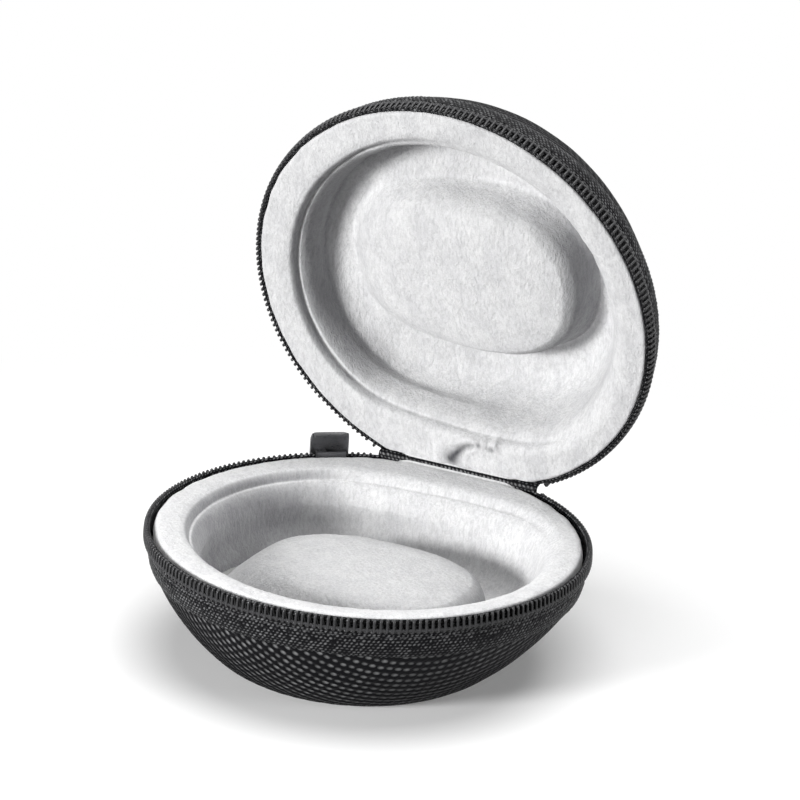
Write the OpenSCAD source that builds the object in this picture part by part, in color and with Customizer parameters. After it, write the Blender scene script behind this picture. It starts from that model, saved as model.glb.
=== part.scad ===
// Round travel case for one wrist watch: two moulded bowls with a soft lining,
// joined by a fabric hinge at the back and closed by a coil zip round the rim.
// Origin: centre of the rim circle, on the floor under it. +Y is the hinge side, +Z up.
// Depths (m) run down from the meeting plane of the two halves.

/* [Case] */
// Height of one half, from its flat face to the meeting plane
half_height = 30.6; // [30:0.1:34]
// Radius of the bowl's outer sphere
bowl_radius = 59.1; // [58.6:0.1:59.8]
// How far the middle of the flat face sits in front of the rim's middle
bowl_shift = 4.5; // [2:0.1:6]
// Distance of the flat back from the rim's middle
back_flat = 48.5; // [47.5:0.1:49]
// Opening angle of the lid
lid_open = 74.5; // [0:0.5:180]

/* [Walls] */
// Thickness of the woven cover
cover_t = 0.8; // [0.5:0.1:1.2]
// Thickness of the pressed foam shell
shell_t = 2.6; // [2:0.1:3]
// Thickness of the velvet lining
lining_t = 0.8; // [0.5:0.1:1]

/* [Recess] */
// Radius of the recess edge
recess_radius = 44.8; // [43:0.1:45.2]
// Distance of the recess's straight side from the rim's middle
recess_back = 41; // [38:0.5:42]
// Depth of the recess floor
recess_depth = 20.6; // [19.8:0.2:21.6]
// Half length of the raised oval
boss_long = 30; // [28:0.5:31]
// Half width of the raised oval
boss_short = 22; // [19:0.5:24]
// Depth of the top of the raised oval
boss_top = 8.2; // [6:0.2:9.4]
// How far the oval sits in front of the rim's middle
boss_front = 1.5; // [0:0.5:4]

/* [Zip] */
// Radius of the inner face of the standing tape
tape_radius = 52.7; // [52.5:0.05:52.8]
// Thickness of the tape
tape_t = 0.4; // [0.3:0.05:0.4]
// Thickness of the coil, measured outward from the tape
coil_t = 1.6; // [1.2:0.1:1.6]
// Distance from one tooth to the next
tooth_pitch = 1.5; // [1.4:0.05:2]
// Angle between the hinge's middle and the end of the coil
zip_end_angle = 26.5; // [26:0.5:28]
// Angle between the hinge's middle and the parked slider
slider_park = 38; // [37:0.5:39]
// Length of the pull tab below its eye
pull_length = 17; // [12:0.5:20]

/* [Hidden] */

$fn = 64;
rays = 40;                       // points round a bowl
sphere_centre = 19.5;            // height of the bowl's sphere centre over the meeting plane
hinge_y = 49.3;                  // hinge axis, in the fold of the outer strip
lip_depth = 0.6;                 // top of the lining's lip
lip_radius = 51.8;               // outer edge of the lip
lip_back = 48.3;                 // back edge of the lip
rim_depth = 5.2;                 // top edge of shell and cover, floor of the slider's groove
tape_bottom = 10.2;              // lower edge of the tape
coil_gap = 0.4;                  // from the meeting plane to the tooth tips
coil_root = 2.9;                 // depth of the tooth roots
cord_r = 0.4;
tape_out = tape_radius + tape_t;
coil_out = tape_out + coil_t;
floor_blend = 1;                 // how softly the bowl turns into its flat face
foot_cut = 0.35;                 // what is cut off the bowl's end to make the flat face
tooth_w = 0.84;
zip_sweep = 360 - 2 * zip_end_angle;
stop_angle = 0.6;                // angle that an end stop takes up
// The lid's zip leaves room here for the parked slider
notch_from = 30.5;
notch_to = 46;

// ---- surfaces -----------------------------------------------------------

// Closed skin through rings of points, closed by a point at each end. Rings from
// swap_from to swap_to run the other way and have the other diagonal, so that two
// skins that share a surface meet face to face
function ring_faces(n, count, swap_from, swap_to) = [
    for (k = [0 : count - 2]) for (i = [0 : n - 1])
        let (j = (i + 1) % n, a = k * n, b = (k + 1) * n)
        each k >= swap_from && k < swap_to
            ? [[a + i, b + i, a + j], [b + i, b + j, a + j]]
            : [[a + i, b + i, b + j], [a + i, b + j, a + j]]
];
module skin(rings, first, last, swap_from, swap_to) {
    n = len(rings[0]);
    count = len(rings);
    points = concat([for (r = rings) each r], [first, last]);
    start_cap = [for (i = [0 : n - 1]) [n * count, i, (i + 1) % n]];
    end_base = (count - 1) * n;
    end_cap = [for (i = [0 : n - 1]) [n * count + 1, end_base + (i + 1) % n, end_base + i]];
    polyhedron(
        points, concat(start_cap, ring_faces(n, count, swap_from, swap_to), end_cap), convexity = 8);
}

// Ring of radius r at depth m, shifted to the front and cut flat at the back
function ring(r, m, shift, flat) = [
    for (i = [0 : rays - 1])
        let (a = 360 * i / rays)
        [r * sin(a), min(r * cos(a) - shift, flat), -m]
];

// Smooth step from a rising depth to the flat face
function soft_floor(m, level) =
    -floor_blend * ln(exp(-m / floor_blend) + exp(-level / floor_blend));
function shift_at(m) = bowl_shift * max(0, m - tape_bottom) / (half_height - tape_bottom);

// The bowl's surface, moved inward by t: standing rim first, then the sphere
rim_stations = [[rim_depth, 0], [7.5, -0.25], [9, -0.75]];
sphere_angles = [59, 53.5, 48, 42.5, 38, 34, 30.5, 26];
function rim_rings(t) = [
    for (s = rim_stations) ring(tape_radius + s[1] - t, s[0], 0, back_flat - t)
];
function sphere_rings(t, level) = [
    for (a = sphere_angles)
        let (rho = bowl_radius - t, m = soft_floor(rho * cos(a) - sphere_centre, level))
        ring(rho * sin(a), m, shift_at(m), back_flat - t)
];
function bowl_rings(t, level) = concat(rim_rings(t), sphere_rings(t, level));
function reversed(list) = [for (i = [len(list) - 1 : -1 : 0]) list[i]];
function floor_point(level) = [0, -bowl_shift, -level];

// A wall between the bowl's surface at t0 and at t1
module bowl_wall(t0, level0, t1, level1) {
    outer = bowl_rings(t0, level0);
    inner = bowl_rings(t1, level1);
    skin(concat(reversed(outer), inner), floor_point(level0), floor_point(level1), 0, len(outer) - 1);
}

cover_level = half_height + foot_cut;
shell_level = half_height - cover_t;
insert_level = shell_level - shell_t;

// ---- the recess and its raised oval ------------------------------------

oval_power = 2.5;                // 2 is a plain ellipse, more is fuller
function boss_reach(a) = pow(
    pow(abs(sin(a)) / boss_long, oval_power) + pow(abs(cos(a)) / boss_short, oval_power), -1 / oval_power);
function round_reach(a) =
    boss_front * cos(a) + sqrt(pow(recess_radius, 2) - pow(boss_front * sin(a), 2));
function back_reach(a) = cos(a) > 0.05 ? (recess_back + boss_front) / cos(a) : 900;
corner_power = 12;               // how tightly the round edge turns into the straight side
function recess_reach(a) = pow(
    pow(round_reach(a), -corner_power) + pow(back_reach(a), -corner_power), -1 / corner_power);
foot_reach = 1.075;               // where the oval meets the recess floor
function boss_foot(a) = foot_reach * boss_reach(a);
wall_run = 9.5;                  // from the recess edge in to the foot of its wall
function wall_foot(a) = max(recess_reach(a) - wall_run, boss_foot(a) + 1);

// Stations from the oval's middle to the lip's outer edge. Each has what it is
// measured from, a number for it, its depth, and the way inward through the lining.
BOSS = 0;
BOSS_FOOT = 1;
WALL_FOOT = 2;
EDGE = 3;
LIP = 4;
lining_stations = [
    [BOSS, 0.35, boss_top + 0.2, 0, 1],
    [BOSS, 0.7, boss_top + 0.8, -0.1, 1],
    [BOSS, 0.89, boss_top + 1.9, -0.5, 0.85],
    [BOSS, 0.965, boss_top + 4, -0.8, 0.5],
    [BOSS, 1, recess_depth - 5.6, -0.9, 0.4],
    [BOSS, 1.03, recess_depth - 2.4, -0.8, 0.6],
    [BOSS_FOOT, 0, recess_depth, -0.2, 1],
    [WALL_FOOT, 0, recess_depth, 0.2, 1],
    [EDGE, -6.6, recess_depth - 2.4, 0.6, 0.8],
    [EDGE, -4.4, recess_depth - 7, 0.9, 0.4],
    [EDGE, -3.1, lip_depth + 8.6, 1, 0.3],
    [EDGE, -2.4, lip_depth + 5.6, 0.9, 0.8],
    [EDGE, -0.6, lip_depth + 4.2, 0.8, 0.8],
    [EDGE, -0.1, lip_depth + 1.8, 1, 0.5],
    [EDGE, 0.6, lip_depth + 0.5, 0.7, 0.8],
    [EDGE, 1.8, lip_depth, 0.2, 1],
    [LIP, lip_radius - 1.2, lip_depth, -0.1, 1],
    [LIP, lip_radius - 0.3, lip_depth + 0.4, -0.6, 0.6],
    [LIP, lip_radius, lip_depth + 1.3, -1, 0.1],
    [LIP, lip_radius, rim_depth, -1, 0]
];
function reach_of(s, a) =
    s[0] == BOSS ? s[1] * boss_reach(a) :
    s[0] == BOSS_FOOT ? boss_foot(a) :
    s[0] == WALL_FOOT ? wall_foot(a) : recess_reach(a) + s[1];
function lining_point(s, a, t) = s[0] == LIP
    ? [(s[1] + t * s[3]) * sin(a),
       min((s[1] + t * s[3]) * cos(a), lip_back - (lip_radius - s[1]) + t * s[3]), -s[2] - t * s[4]]
    : let (r = reach_of(s, a) + t * s[3]) [r * sin(a), r * cos(a) - boss_front, -s[2] - t * s[4]];
function lining_rings(t) = [
    for (s = lining_stations) [for (i = [0 : rays - 1]) lining_point(s, 360 * i / rays, t)]
];
function boss_point(t) = [0, -boss_front, -boss_top - t];

// Pocket under the oval that holds its core
core_scale = 0.74;
core_top = boss_top + 5;
core_bottom = insert_level - 0.06;  // clear of the shell's slightly domed floor
function core_ring(m, grow) = [
    for (i = [0 : rays - 1])
        let (a = 360 * i / rays, r = core_scale * boss_reach(a) + grow)
        [r * sin(a), r * cos(a) - boss_front, -m]
];
core_rings = [core_ring(core_top, -2), core_ring(core_top + 2, 0), core_ring(core_bottom, 0)];

// ---- pieces of one half, in the closed place under the meeting plane ---

module cover() {
    color("#26272a") difference() {
        bowl_wall(0, cover_level, cover_t, shell_level);
        translate([-60, -60, -half_height - 10]) cube([120, 120, 10]);
    }
}

module shell() {
    color("#3a3a3c") bowl_wall(cover_t, shell_level, cover_t + shell_t, insert_level);
}

module insert() {
    top = lining_rings(lining_t);
    wall = bowl_rings(cover_t + shell_t, insert_level);
    outside = len(top) + len(wall);
    color("#b9b9b6") skin(
        concat(top, wall, reversed(core_rings)),
        boss_point(lining_t), [0, -boss_front, -core_top], outside, outside + len(core_rings) - 1);
}

module boss_core(shade) {
    color(shade) skin(core_rings, [0, -boss_front, -core_top], [0, -boss_front, -core_bottom], 0, 0);
}

module lining() {
    top = lining_rings(0);
    color("#e9e9e9") skin(
        concat(top, reversed(lining_rings(lining_t))),
        boss_point(0), boss_point(lining_t), len(top), 2 * len(top) - 1);
}

// A solid swept round the rim from one angle to another, both measured
// from the hinge side towards -X
module round_rim(from, to) {
    rotate([0, 0, 90 + from]) rotate_extrude(angle = to - from, $fn = 180) children();
}

module tape_profile() {
    polygon([
        [tape_radius, -coil_gap - 0.1], [tape_out, -coil_gap - 0.1],
        [tape_out, -rim_depth], [tape_out - 0.2, -7.5], [tape_out - 0.7, -9], [tape_out - 1.5, -tape_bottom],
        [tape_radius - 1.45, -tape_bottom], [tape_radius - 0.75, -9], [tape_radius - 0.25, -7.5],
        [tape_radius, -rim_depth]
    ]);
}

// The standing tape, with its free part left out over the notch
module zip_tape(notch) {
    color("#232427") difference() {
        round_rim(24.5, 335.5) tape_profile();
        if (notch) round_rim(notch_from, notch_to) translate([51, -rim_depth]) square([4, 6]);
    }
}

module tooth() {
    rotate([90, 0, 0]) rotate([0, 90, 0]) linear_extrude(coil_t) polygon([
        [-tooth_w / 2, -coil_root], [tooth_w / 2, -coil_root], [tooth_w / 2, -coil_gap - 0.5],
        [0.2, -coil_gap], [-0.2, -coil_gap], [-tooth_w / 2, -coil_gap - 0.5]
    ]);
}

tooth_step = tooth_pitch / (tape_out + coil_t / 2) * 180 / PI;
teeth = floor((zip_sweep - 2 * stop_angle - 1) / tooth_step);
first_tooth = 180 - (teeth - 1) * tooth_step / 2;
function in_notch(a) = a > notch_from - 0.5 && a < notch_to + 0.5;

module zip_coil(offset, notch) {
    color("#1b1b1d") for (i = [0 : teeth - 1 - offset * 2]) {
        a = first_tooth + (i + offset) * tooth_step;
        if (!notch || !in_notch(a)) rotate([0, 0, 90 + a]) translate([tape_out, 0, 0]) tooth();
    }
}

module coil_cord(notch) {
    cord_from = zip_end_angle + stop_angle;
    color("#202124") {
        if (notch) round_rim(cord_from, notch_from) cord_profile();
        round_rim(notch ? notch_to : cord_from, 360 - cord_from) cord_profile();
    }
}

module cord_profile() {
    translate([tape_out + cord_r, -coil_root - cord_r]) circle(cord_r, $fn = 24);
}

stitch_pitch = 3.2;
module tape_stitching(notch) {
    step = stitch_pitch / tape_out * 180 / PI;
    count = floor((zip_sweep - 2) / step);
    first = 180 - (count - 1) * step / 2;
    color("#2c2d30") for (i = [0 : count - 1])
        rotate([0, 0, 90 + first + i * step])
            if (!notch || !in_notch(first + i * step))
                translate([tape_out, -1, -5.08]) cube([0.18, 2, 0.32]);
}

module zip_stops() {
    color("#17181a") for (from = [zip_end_angle, 360 - zip_end_angle - stop_angle])
        round_rim(from, from + stop_angle) translate([tape_out, -3.7]) square([coil_t - 0.1, 3.2]);
}

// Outer hinge strip on the flat back. Its fold is a bead on the hinge axis
strip_t = 0.6;
strip_y = back_flat + 0.05;
module strip_outline(top) {
    polygon([[-21, -top], [-21, -7.4], [-14, -10.8], [14, -10.8], [21, -7.4], [21, -top]]);
}

module hinge_strip(bead) {
    color("#232427") {
        translate([0, strip_y + strip_t, 0]) rotate([90, 0, 0])
            linear_extrude(strip_t) strip_outline(bead ? 0.1 : 0.45);
        if (bead) translate([-21, hinge_y, 0]) rotate([0, 90, 0]) cylinder(r = 0.3, h = 42, $fn = 24);
    }
}

module hinge_lining() {
    color("#e2e2e2") translate([-16.5, 44, -lip_depth]) cube([33, lip_back - 44, 0.25]);
}

module hinge_stitching() {
    color("#2c2d30") for (row = [2.4, 9.2]) for (i = [-6 : 6])
        if (row < 9 || abs(i) < 6)
            translate([i * 2.6 - 0.9, strip_y + strip_t, -row - 0.2]) cube([1.8, 0.07, 0.35]);
}

// ---- slider and pull ----------------------------------------------------

slider_half = 5.2;               // half the slider's length, as an angle
plate_in = coil_out + 0.15;
plate_out = plate_in + 0.9;
flange_in = tape_out + 0.15;
bar_r = 0.6;
bar_at = plate_out + 1.9;        // radius at which the bridge's bar lies
bar_half = 2.9;
eye_r = bar_r + 0.05;

module arc_plate(half, r0, r1, z0, z1) {
    rotate([0, 0, -half]) rotate_extrude(angle = 2 * half, $fn = 180)
        translate([r0, z0]) square([r1 - r0, z1 - z0]);
}

// The slider, drawn on +X: outer plate, two flanges, divider and inner plate
module slider_on_x() {
    arc_plate(slider_half, plate_in, plate_out, -4.45, 4.45);
    arc_plate(slider_half - 0.7, flange_in, plate_in, 3.85, 4.45);
    arc_plate(slider_half - 0.7, flange_in, plate_in, -4.45, -3.85);
    rotate([0, 0, 2.6]) arc_plate(1.4, tape_radius - 0.2, plate_in, -0.28, 0.28);
    arc_plate(slider_half - 0.9, lip_radius + 0.15, tape_radius - 0.15, -4.2, 0.28);
}

// The bridge: a round bar along the zip on two legs, which stand on the outer plate
module bridge_on_x() {
    translate([bar_at, 0, 0]) rotate([90, 0, 0]) cylinder(r = bar_r, h = 2 * bar_half, center = true, $fn = 32);
    difference() {
        for (side = [-1, 1])
            translate([plate_in + 0.5, side * (bar_half - 0.5) - 0.5, -0.55])
                cube([bar_at - plate_in - 0.5, 1, 1.1]);
        arc_plate(slider_half, plate_in, plate_out, -4.45, 4.45);
    }
}

// The pull: an eye rolled round the bar, a neck, and a flat tab with a round end
module pull_on_x() {
    tab_w = 5.2;
    tab_t = 1.1;
    difference() {
        union() {
            rotate([90, 0, 0]) cylinder(r = 1.25, h = 3, center = true, $fn = 32);
            translate([-tab_t / 2, -1.5, -4.2]) cube([tab_t, 3, 3.6]);
        }
        rotate([90, 0, 0]) cylinder(r = eye_r, h = 4, center = true, $fn = 32);
    }
    translate([-tab_t / 2, 0, 0]) rotate([0, 90, 0]) linear_extrude(tab_t) {
        translate([4, -1.5]) square([2, 3]);
        translate([6, -tab_w / 2]) square([pull_length - tab_w / 2 - 6, tab_w]);
        translate([pull_length - tab_w / 2, 0]) circle(tab_w / 2, $fn = 40);
    }
}

module at_slider() {
    translate([0, 0, half_height]) rotate([0, 0, 90 + slider_park]) children();
}

module slider_body() {
    color("#2e2f33") at_slider() slider_on_x();
}

module slider_bridge() {
    color("#303136") at_slider() bridge_on_x();
}

module pull_tab() {
    color("#34353a") at_slider() translate([bar_at, 0, 0]) pull_on_x();
}

// ---- places of the two halves -------------------------------------------

module in_base() {
    translate([0, 0, half_height]) children();
}

module in_lid() {
    translate([0, hinge_y, half_height]) rotate([-lid_open, 0, 0])
        translate([0, -hinge_y, 0]) mirror([0, 0, 1]) children();
}

module base_cover() { in_base() cover(); }
module base_shell() { in_base() shell(); }
module base_insert() { in_base() insert(); }
module base_boss_core() { in_base() boss_core("#4a4a4c"); }
module base_lining() { in_base() lining(); }
module base_zip_tape() { in_base() zip_tape(false); }
module base_zip_coil() { in_base() zip_coil(0, false); }
module base_coil_cord() { in_base() coil_cord(false); }
module base_tape_stitching() { in_base() tape_stitching(false); }
module base_zip_stops() { in_base() zip_stops(); }
module base_hinge_strip() { in_base() hinge_strip(true); }
module base_hinge_lining() { in_base() hinge_lining(); }
module base_hinge_stitching() { in_base() hinge_stitching(); }
module lid_cover() { in_lid() cover(); }
module lid_shell() { in_lid() shell(); }
module lid_insert() { in_lid() insert(); }
module lid_boss_core() { in_lid() boss_core("#c4c4c0"); }
module lid_lining() { in_lid() lining(); }
module lid_zip_tape() { in_lid() zip_tape(true); }
module lid_zip_coil() { in_lid() zip_coil(0.5, true); }
module lid_coil_cord() { in_lid() coil_cord(true); }
module lid_tape_stitching() { in_lid() tape_stitching(true); }
module lid_zip_stops() { in_lid() zip_stops(); }
module lid_hinge_strip() { in_lid() hinge_strip(false); }
module lid_hinge_lining() { in_lid() hinge_lining(); }
module lid_hinge_stitching() { in_lid() hinge_stitching(); }

base_cover();
base_shell();
base_insert();
base_boss_core();
base_lining();
base_zip_tape();
base_zip_coil();
base_coil_cord();
base_tape_stitching();
base_zip_stops();
base_hinge_strip();
base_hinge_lining();
base_hinge_stitching();
lid_cover();
lid_shell();
lid_insert();
lid_boss_core();
lid_lining();
lid_zip_tape();
lid_zip_coil();
lid_coil_cord();
lid_tape_stitching();
lid_zip_stops();
lid_hinge_strip();
lid_hinge_lining();
lid_hinge_stitching();
slider_body();
slider_bridge();
pull_tab();
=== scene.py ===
"""Round zip case for one wrist watch: the visible pieces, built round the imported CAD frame.

Each half is drawn in one shared space, in millimetres: x to the right, y towards the hinge,
z = -m, where m is the depth below the meeting plane of the two halves. A half's matrix puts
its pieces in the row frame, in metres. Angles round the rim run from the hinge side (+y)
towards -x.
"""
import math

import bmesh
import bpy
import numpy as np
from mathutils import Matrix, Vector


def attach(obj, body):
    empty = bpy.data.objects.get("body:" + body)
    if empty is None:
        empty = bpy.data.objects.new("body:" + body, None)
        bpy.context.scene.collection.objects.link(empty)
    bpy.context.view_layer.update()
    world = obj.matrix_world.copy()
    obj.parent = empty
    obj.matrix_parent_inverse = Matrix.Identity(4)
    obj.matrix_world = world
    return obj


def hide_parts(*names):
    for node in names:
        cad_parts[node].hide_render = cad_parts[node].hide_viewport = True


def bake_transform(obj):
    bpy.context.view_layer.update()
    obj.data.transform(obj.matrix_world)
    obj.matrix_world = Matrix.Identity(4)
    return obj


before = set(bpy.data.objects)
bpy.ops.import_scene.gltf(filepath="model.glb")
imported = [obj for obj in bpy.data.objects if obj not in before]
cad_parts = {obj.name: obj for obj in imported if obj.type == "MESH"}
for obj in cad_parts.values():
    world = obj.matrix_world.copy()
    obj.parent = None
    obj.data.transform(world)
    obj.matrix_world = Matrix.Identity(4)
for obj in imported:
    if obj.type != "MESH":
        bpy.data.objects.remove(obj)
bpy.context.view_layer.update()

# ---- sizes of the case, as in the CAD source (mm and degrees) ------------

HALF_HEIGHT = 30.6
BOWL_RADIUS = 59.1
SPHERE_CENTRE = 19.5
BOWL_SHIFT = 4.5
BACK_FLAT = 48.5
LID_OPEN = 74.5
HINGE_Y = 49.3
LIP_RADIUS = 51.8
LIP_BACK = 48.3
RIM_DEPTH = 5.2
TAPE_BOTTOM = 10.2
TAPE_RADIUS = 52.7
TAPE_OUT = 53.1
COVER_LEVEL = 30.95
RECESS_RADIUS = 44.8
RECESS_BACK = 41.0
BOSS_LONG = 30.0
BOSS_SHORT = 22.0
BOSS_TOP = 8.2
BOSS_FRONT = 1.5
OVAL_POWER = 2.5
CORNER_POWER = 12.0
TOOTH_PITCH = 1.5
ZIP_END = 26.5
STOP_ANGLE = 0.6
PARK_ANGLE = 38
COIL_RADIUS = 53.9
MM = 0.001

# ---- camera --------------------------------------------------------------

CAMERA_AT = (0.3161, -0.6483, 0.3188)
CAMERA_AZIMUTH = 25.558
CAMERA_ELEVATION = 19.446
CAMERA_ROLL = 3.69
CAMERA_LENS = 144.7
SENSOR_WIDTH = 36


def added(name, data):
    """A new object in the scene."""
    made = bpy.data.objects.new(name, data)
    bpy.context.scene.collection.objects.link(made)
    return made


def make_camera():
    data = bpy.data.cameras.new("camera")
    data.lens = CAMERA_LENS
    data.sensor_width = SENSOR_WIDTH
    data.clip_start = 0.05
    data.clip_end = 20
    camera = added("camera", data)
    camera.matrix_world = (
        Matrix.Translation(CAMERA_AT)
        @ Matrix.Rotation(math.radians(CAMERA_AZIMUTH), 4, "Z")
        @ Matrix.Rotation(math.radians(90 - CAMERA_ELEVATION), 4, "X")
        @ Matrix.Rotation(math.radians(CAMERA_ROLL), 4, "Z")
    )
    bpy.context.scene.camera = camera


make_camera()

# ---- places of the two halves --------------------------------------------

SCALE = Matrix.Scale(MM, 4)
IN_BASE = SCALE @ Matrix.Translation((0, 0, HALF_HEIGHT))
IN_LID = (
    SCALE
    @ Matrix.Translation((0, HINGE_Y, HALF_HEIGHT))
    @ Matrix.Rotation(math.radians(-LID_OPEN), 4, "X")
    @ Matrix.Translation((0, -HINGE_Y, 0))
    @ Matrix.Diagonal((1, 1, -1, 1))
)
HALVES = {"base": IN_BASE, "lid": IN_LID}
SEEDS = {
    "base": {"knots": 3, "tape": 21, "stitches": 31, "velvet": 51},
    "lid": {"knots": 4, "tape": 22, "stitches": 32, "velvet": 61},
}


def placed(points, place):
    """Points of the shared space in the row frame, in metres."""
    m = np.array(place)
    return points @ m[:3, :3].T + m[:3, 3]


# ---- small tools ---------------------------------------------------------


def smooth_noise(points, size, seed):
    """Smooth, seeded noise between about -1 and 1, with features of the given size."""
    waves = 28
    rng = np.random.default_rng(seed)
    way = rng.normal(size=(waves, 3))
    way /= np.linalg.norm(way, axis=1)[:, None]
    way *= (2 * math.pi / size) * rng.uniform(0.6, 1.6, waves)[:, None]
    phase = rng.uniform(0, 2 * math.pi, waves)
    flat = points.reshape(-1, 3)
    value = np.zeros(len(flat))
    for k in range(waves):
        value += np.sin(flat @ way[k] + phase[k])
    return (value / math.sqrt(waves / 2) / 2).reshape(points.shape[:-1])


def lengths_along(path):
    """How far each point of a path lies from its first one, along the path."""
    return np.concatenate([[0], np.cumsum(np.linalg.norm(np.diff(path, axis=0), axis=1))])


def catmull(points, count):
    """A smooth curve through points, resampled to count points evenly along its length."""
    p = np.asarray(points, float)
    p = np.concatenate([2 * p[:1] - p[1:2], p, 2 * p[-1:] - p[-2:-1]])
    step = np.linalg.norm(np.diff(p, axis=0), axis=1)[:, None]
    slope = np.diff(p, axis=0) / step
    tangent = (slope[:-1] * step[1:] + slope[1:] * step[:-1]) / (step[1:] + step[:-1])
    tangent *= np.minimum(step[:-1], step[1:])
    t = np.linspace(0, 1, 24, endpoint=False)[None, :, None]
    start, stop = p[1:-2, None], p[2:-1, None]
    dense = (
        (2 * t**3 - 3 * t**2 + 1) * start + (t**3 - 2 * t**2 + t) * tangent[:-1, None]
        + (3 * t**2 - 2 * t**3) * stop + (t**3 - t**2) * tangent[1:, None]
    ).reshape(-1, p.shape[1])
    dense = np.concatenate([dense, p[-2:-1]])
    length = lengths_along(dense)
    at = np.linspace(0, length[-1], count)
    return np.stack([np.interp(at, length, dense[:, k]) for k in range(dense.shape[1])], axis=1)


def grid_normals(points, wrap):
    """Unit normals of a grid of points. Wrap closes its second axis."""
    down = np.gradient(points, axis=0)
    if wrap:
        across = (np.roll(points, -1, axis=1) - np.roll(points, 1, axis=1)) / 2
    else:
        across = np.gradient(points, axis=1)
    normal = np.cross(down, across)
    return normal / np.maximum(np.linalg.norm(normal, axis=-1, keepdims=True), 1e-12)


def grid_faces(rows, columns, wrap, offset=0):
    """Quads of a grid whose points are stored row by row."""
    i = np.arange(rows - 1)[:, None]
    j = np.arange(columns if wrap else columns - 1)[None, :]
    k = (j + 1) % columns
    faces = np.stack(
        [i * columns + j, (i + 1) * columns + j, (i + 1) * columns + k, i * columns + k], axis=-1
    )
    return faces.reshape(-1, 4) + offset


def make_piece(name, points, faces, place, material, uv=None, values=None):
    """A mesh object from points of the shared space. A mirrored place turns its faces over."""
    points = placed(np.asarray(points, float).reshape(-1, 3), place)
    faces = np.asarray(faces)
    if place.determinant() < 0:
        faces = faces[:, ::-1]
    mesh = bpy.data.meshes.new(name)
    sides = faces.shape[1]
    mesh.vertices.add(len(points))
    mesh.vertices.foreach_set("co", points.astype(np.float32).ravel())
    mesh.loops.add(faces.size)
    mesh.loops.foreach_set("vertex_index", faces.astype(np.int32).ravel())
    mesh.polygons.add(len(faces))
    mesh.polygons.foreach_set("loop_start", np.arange(0, faces.size, sides, dtype=np.int32))
    if uv is not None:
        layer = mesh.uv_layers.new(name="cloth")
        layer.data.foreach_set("uv", np.asarray(uv)[faces.ravel()].astype(np.float32).ravel())
    for key, value in (values or {}).items():
        attribute = mesh.attributes.new(key, "FLOAT", "POINT")
        attribute.data.foreach_set("value", np.asarray(value).astype(np.float32).ravel())
    mesh.update(calc_edges=True)
    mesh.validate()
    mesh.polygons.foreach_set("use_smooth", np.ones(len(mesh.polygons), bool))
    mesh.materials.append(material)
    return added(name, mesh)


def faced(points, faces, outward, sample=slice(None)):
    """Faces turned so that the normals of the sample point the way that outward() says."""
    a, b, c = (points[faces[sample, k]] for k in range(3))
    normal = np.cross(b - a, c - a)
    if np.sum(normal * outward((a + b + c) / 3)) < 0:
        return faces[:, ::-1]
    return faces


def tube(path, radius, sides, reference, flatten=1.0):
    """Rings of points round a path. Flatten scales the rings along the reference direction."""
    tangent = np.gradient(path, axis=0)
    tangent /= np.linalg.norm(tangent, axis=1)[:, None]
    side = reference - np.sum(reference * tangent, axis=1)[:, None] * tangent
    side /= np.linalg.norm(side, axis=1)[:, None]
    other = np.cross(tangent, side)
    a = np.arange(sides) * 2 * math.pi / sides
    radius = np.broadcast_to(radius, len(path))[:, None, None]
    return path[:, None, :] + radius * (
        flatten * np.cos(a)[None, :, None] * side[:, None, :]
        + np.sin(a)[None, :, None] * other[:, None, :]
    )


def joined(parts):
    """Points and faces of several meshes as one."""
    points, faces, start = [], [], 0
    for p, f in parts:
        points.append(p)
        faces.append(f + start)
        start += len(p)
    return np.concatenate(points), np.concatenate(faces)


def capped_tube(path, radius, sides, reference):
    """A tube with rounded ends that all but close, as points and quads."""
    along = lengths_along(path)
    edge = np.minimum(along, along[-1] - along) / radius
    swell = np.sqrt(np.clip(1 - (1 - np.clip(edge, 0, 1)) ** 2, 0.0004, 1))
    rings = tube(path, radius * swell, sides, reference)
    return rings.reshape(-1, 3), grid_faces(len(path), sides, True)[:, ::-1]


def round_rim(angle, radius, m):
    """Points at an angle (degrees from +y towards -x), radius and depth."""
    a = np.radians(angle)
    z = -np.asarray(m, float) + 0 * a
    return np.stack([-np.sin(a) * radius, np.cos(a) * radius, z], axis=-1)


def rim_way(angle):
    """Unit vectors along the rim at an angle (degrees)."""
    a = np.radians(angle)
    return np.stack([-np.cos(a), -np.sin(a), 0 * a], axis=-1)


def upward(path):
    """The direction +z for each point of a path."""
    return np.tile([0.0, 0.0, 1.0], (len(path), 1))


# ---- materials -----------------------------------------------------------

# Painted shade: the colour that darkens the recess walls that lie in shade
PAINTED_WALL_SHADE = (0.42, 0.42, 0.43, 1)
# Painted shade: the colour deep in the lid velvet's crease and dimples
PAINTED_FOLD_SHADE = (0.1, 0.1, 0.11, 1)
# Painted shade: the colour in the gaps of the weaves
PAINTED_GAP_SHADE = (0.002, 0.002, 0.003)


def new_node(tree, kind, links=(), **settings):
    """A shader node. Links gives its inputs values, or the sockets that feed them."""
    node = tree.nodes.new("ShaderNode" + kind)
    for key, value in settings.items():
        setattr(node, key, value)
    for socket, value in dict(links).items():
        if isinstance(value, bpy.types.NodeSocket):
            tree.links.new(value, node.inputs[socket])
        else:
            node.inputs[socket].default_value = value
    return node


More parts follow.
